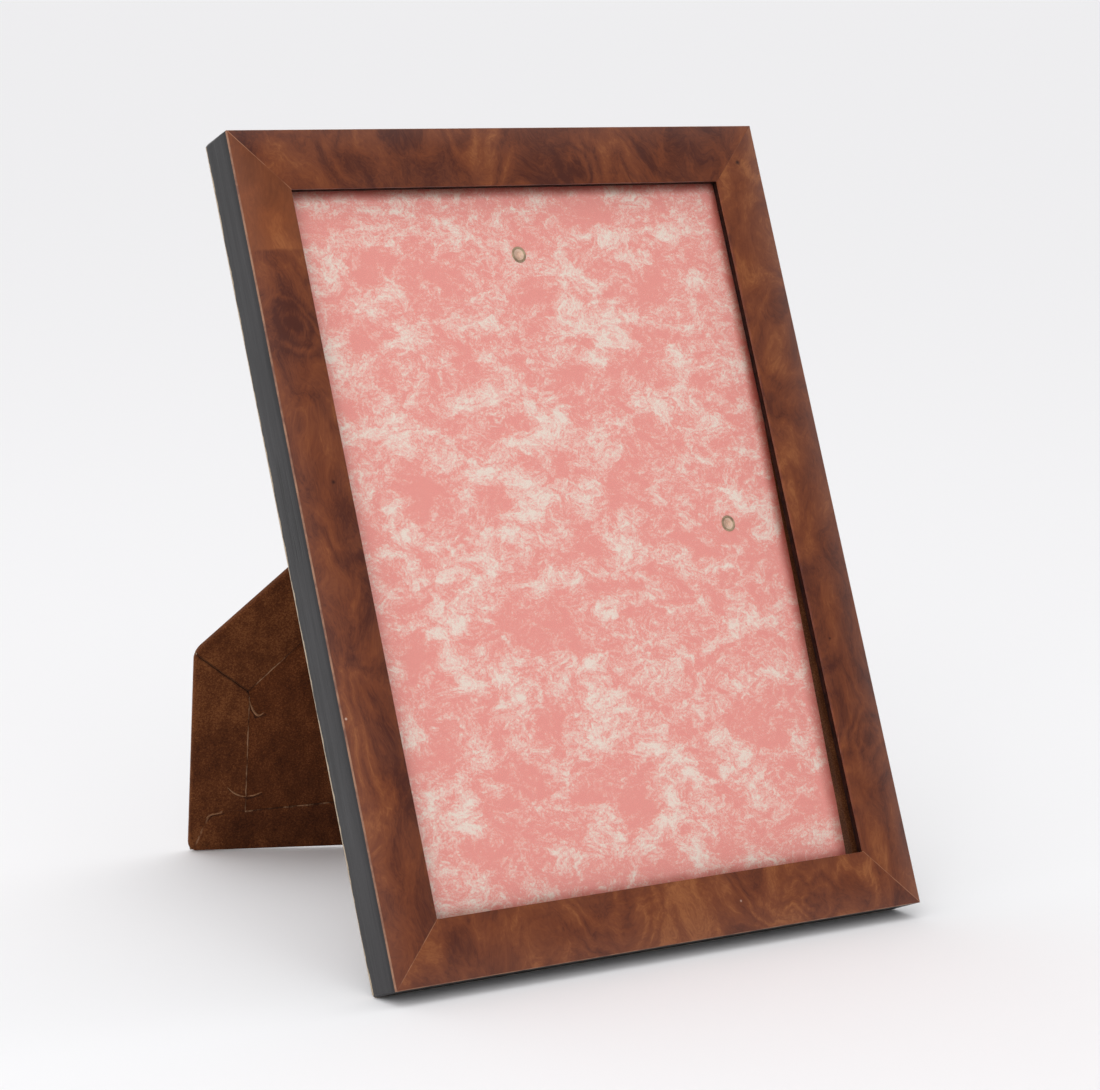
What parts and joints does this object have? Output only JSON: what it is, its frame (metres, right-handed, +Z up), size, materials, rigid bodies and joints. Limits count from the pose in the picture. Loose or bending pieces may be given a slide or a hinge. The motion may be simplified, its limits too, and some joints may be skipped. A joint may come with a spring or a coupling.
{
  "type": "picture frame",
  "caption": "Standing picture frame with a mitred veneered wooden moulding, glass pane, velvet-covered back, folding two-way strut, hanging rings and turn buttons.",
  "frame": {"origin": "on the surface that the frame stands on, under the middle of its box", "axes": "+Z up, -Y towards the viewer in front of the picture, +X to the viewer's right; the moulding leans back 22.1 degrees and the strut stands open"},
  "size_m": [0.21, 0.2032, 0.2552],
  "materials": {
    "stained_wood": "black stained and waxed, satin",
    "burl_veneer": "reddish-brown burl veneer, satin lacquer",
    "glass": "clear, polished",
    "board": "plain pressed board",
    "velvet": "short brown velvet pile",
    "marbled_paper": "pink and cream marbled paper, matt",
    "brass": "aged brass, satin",
    "steel": "plated steel, satin"
  },
  "bodies": {
    "frame": {"back_board": "board", "back_cover": "velvet", "back_lining": "marbled_paper", "corner_v_nails": "steel", "glass_pane": "glass", "hanging_rivet_side": "brass", "hanging_rivet_top": "brass", "hanging_tab_side": "brass", "hanging_tab_top": "brass", "hinge_leaf_fixed": "steel", "hinge_pin": "steel", "hinge_rivets_back": "brass", "rail_bottom": "stained_wood", "rail_top": "stained_wood", "stile_left": "stained_wood", "stile_right": "stained_wood", "turn_button_screws": "brass", "veneer_bottom": "burl_veneer", "veneer_left": "burl_veneer", "veneer_right": "burl_veneer", "veneer_top": "burl_veneer"},
    "strut": {"strut_board": "board", "strut_cover": "velvet", "strut_lining": "velvet", "hinge_leaf_moving": "steel", "hinge_rivets_strut": "brass"},
    "top_ring": {"hanging_ring_top": "brass"},
    "side_ring": {"hanging_ring_side": "brass"},
    "button_bottom": {"turn_button_bottom": "brass"},
    "button_left": {"turn_button_left": "brass"},
    "button_right_lower": {"turn_button_right_lower": "brass"},
    "button_right_upper": {"turn_button_right_upper": "brass"},
    "button_top_left": {"turn_button_top_left": "brass"},
    "button_top_right": {"turn_button_top_right": "brass"}
  },
  "joints": [
    {"name": "strut_fold", "type": "hinge", "parent": "frame", "child": "strut", "pos_m": [0.03545, -0.00979, 0.18939], "axis": [0.831, -0.2093, -0.5154], "range_deg": [-46.9, 0]},
    {"name": "ring_top_swing", "type": "hinge", "parent": "frame", "child": "top_ring", "pos_m": [0, 0.0011, 0.21793], "axis": [1, 0, 0], "range_deg": [-19, 155]},
    {"name": "ring_side_swing", "type": "hinge", "parent": "frame", "child": "side_ring", "pos_m": [0.07, -0.03735, 0.12324], "axis": [0, -0.3762, -0.9265], "range_deg": [-86, 86]},
    {"name": "button_bottom_turn", "type": "hinge", "parent": "frame", "child": "button_bottom", "pos_m": [0.045, -0.08591, 0.00643], "axis": [0, 0.9265, -0.3762], "continuous": true},
    {"name": "button_left_turn", "type": "hinge", "parent": "frame", "child": "button_left", "pos_m": [-0.0978, -0.02165, 0.16468], "axis": [0, 0.9265, -0.3762], "continuous": true},
    {"name": "button_right_lower_turn", "type": "hinge", "parent": "frame", "child": "button_right_lower", "pos_m": [0.0978, -0.0653, 0.0572], "axis": [0, 0.9265, -0.3762], "continuous": true},
    {"name": "button_right_upper_turn", "type": "hinge", "parent": "frame", "child": "button_right_upper", "pos_m": [0.0978, -0.0115, 0.1897], "axis": [0, 0.9265, -0.3762], "continuous": true},
    {"name": "button_top_left_turn", "type": "hinge", "parent": "frame", "child": "button_top_left", "pos_m": [-0.055, 0.01025, 0.24325], "axis": [0, 0.9265, -0.3762], "continuous": true},
    {"name": "button_top_right_turn", "type": "hinge", "parent": "frame", "child": "button_top_right", "pos_m": [0.055, 0.01025, 0.24325], "axis": [0, 0.9265, -0.3762], "continuous": true}
  ]
}
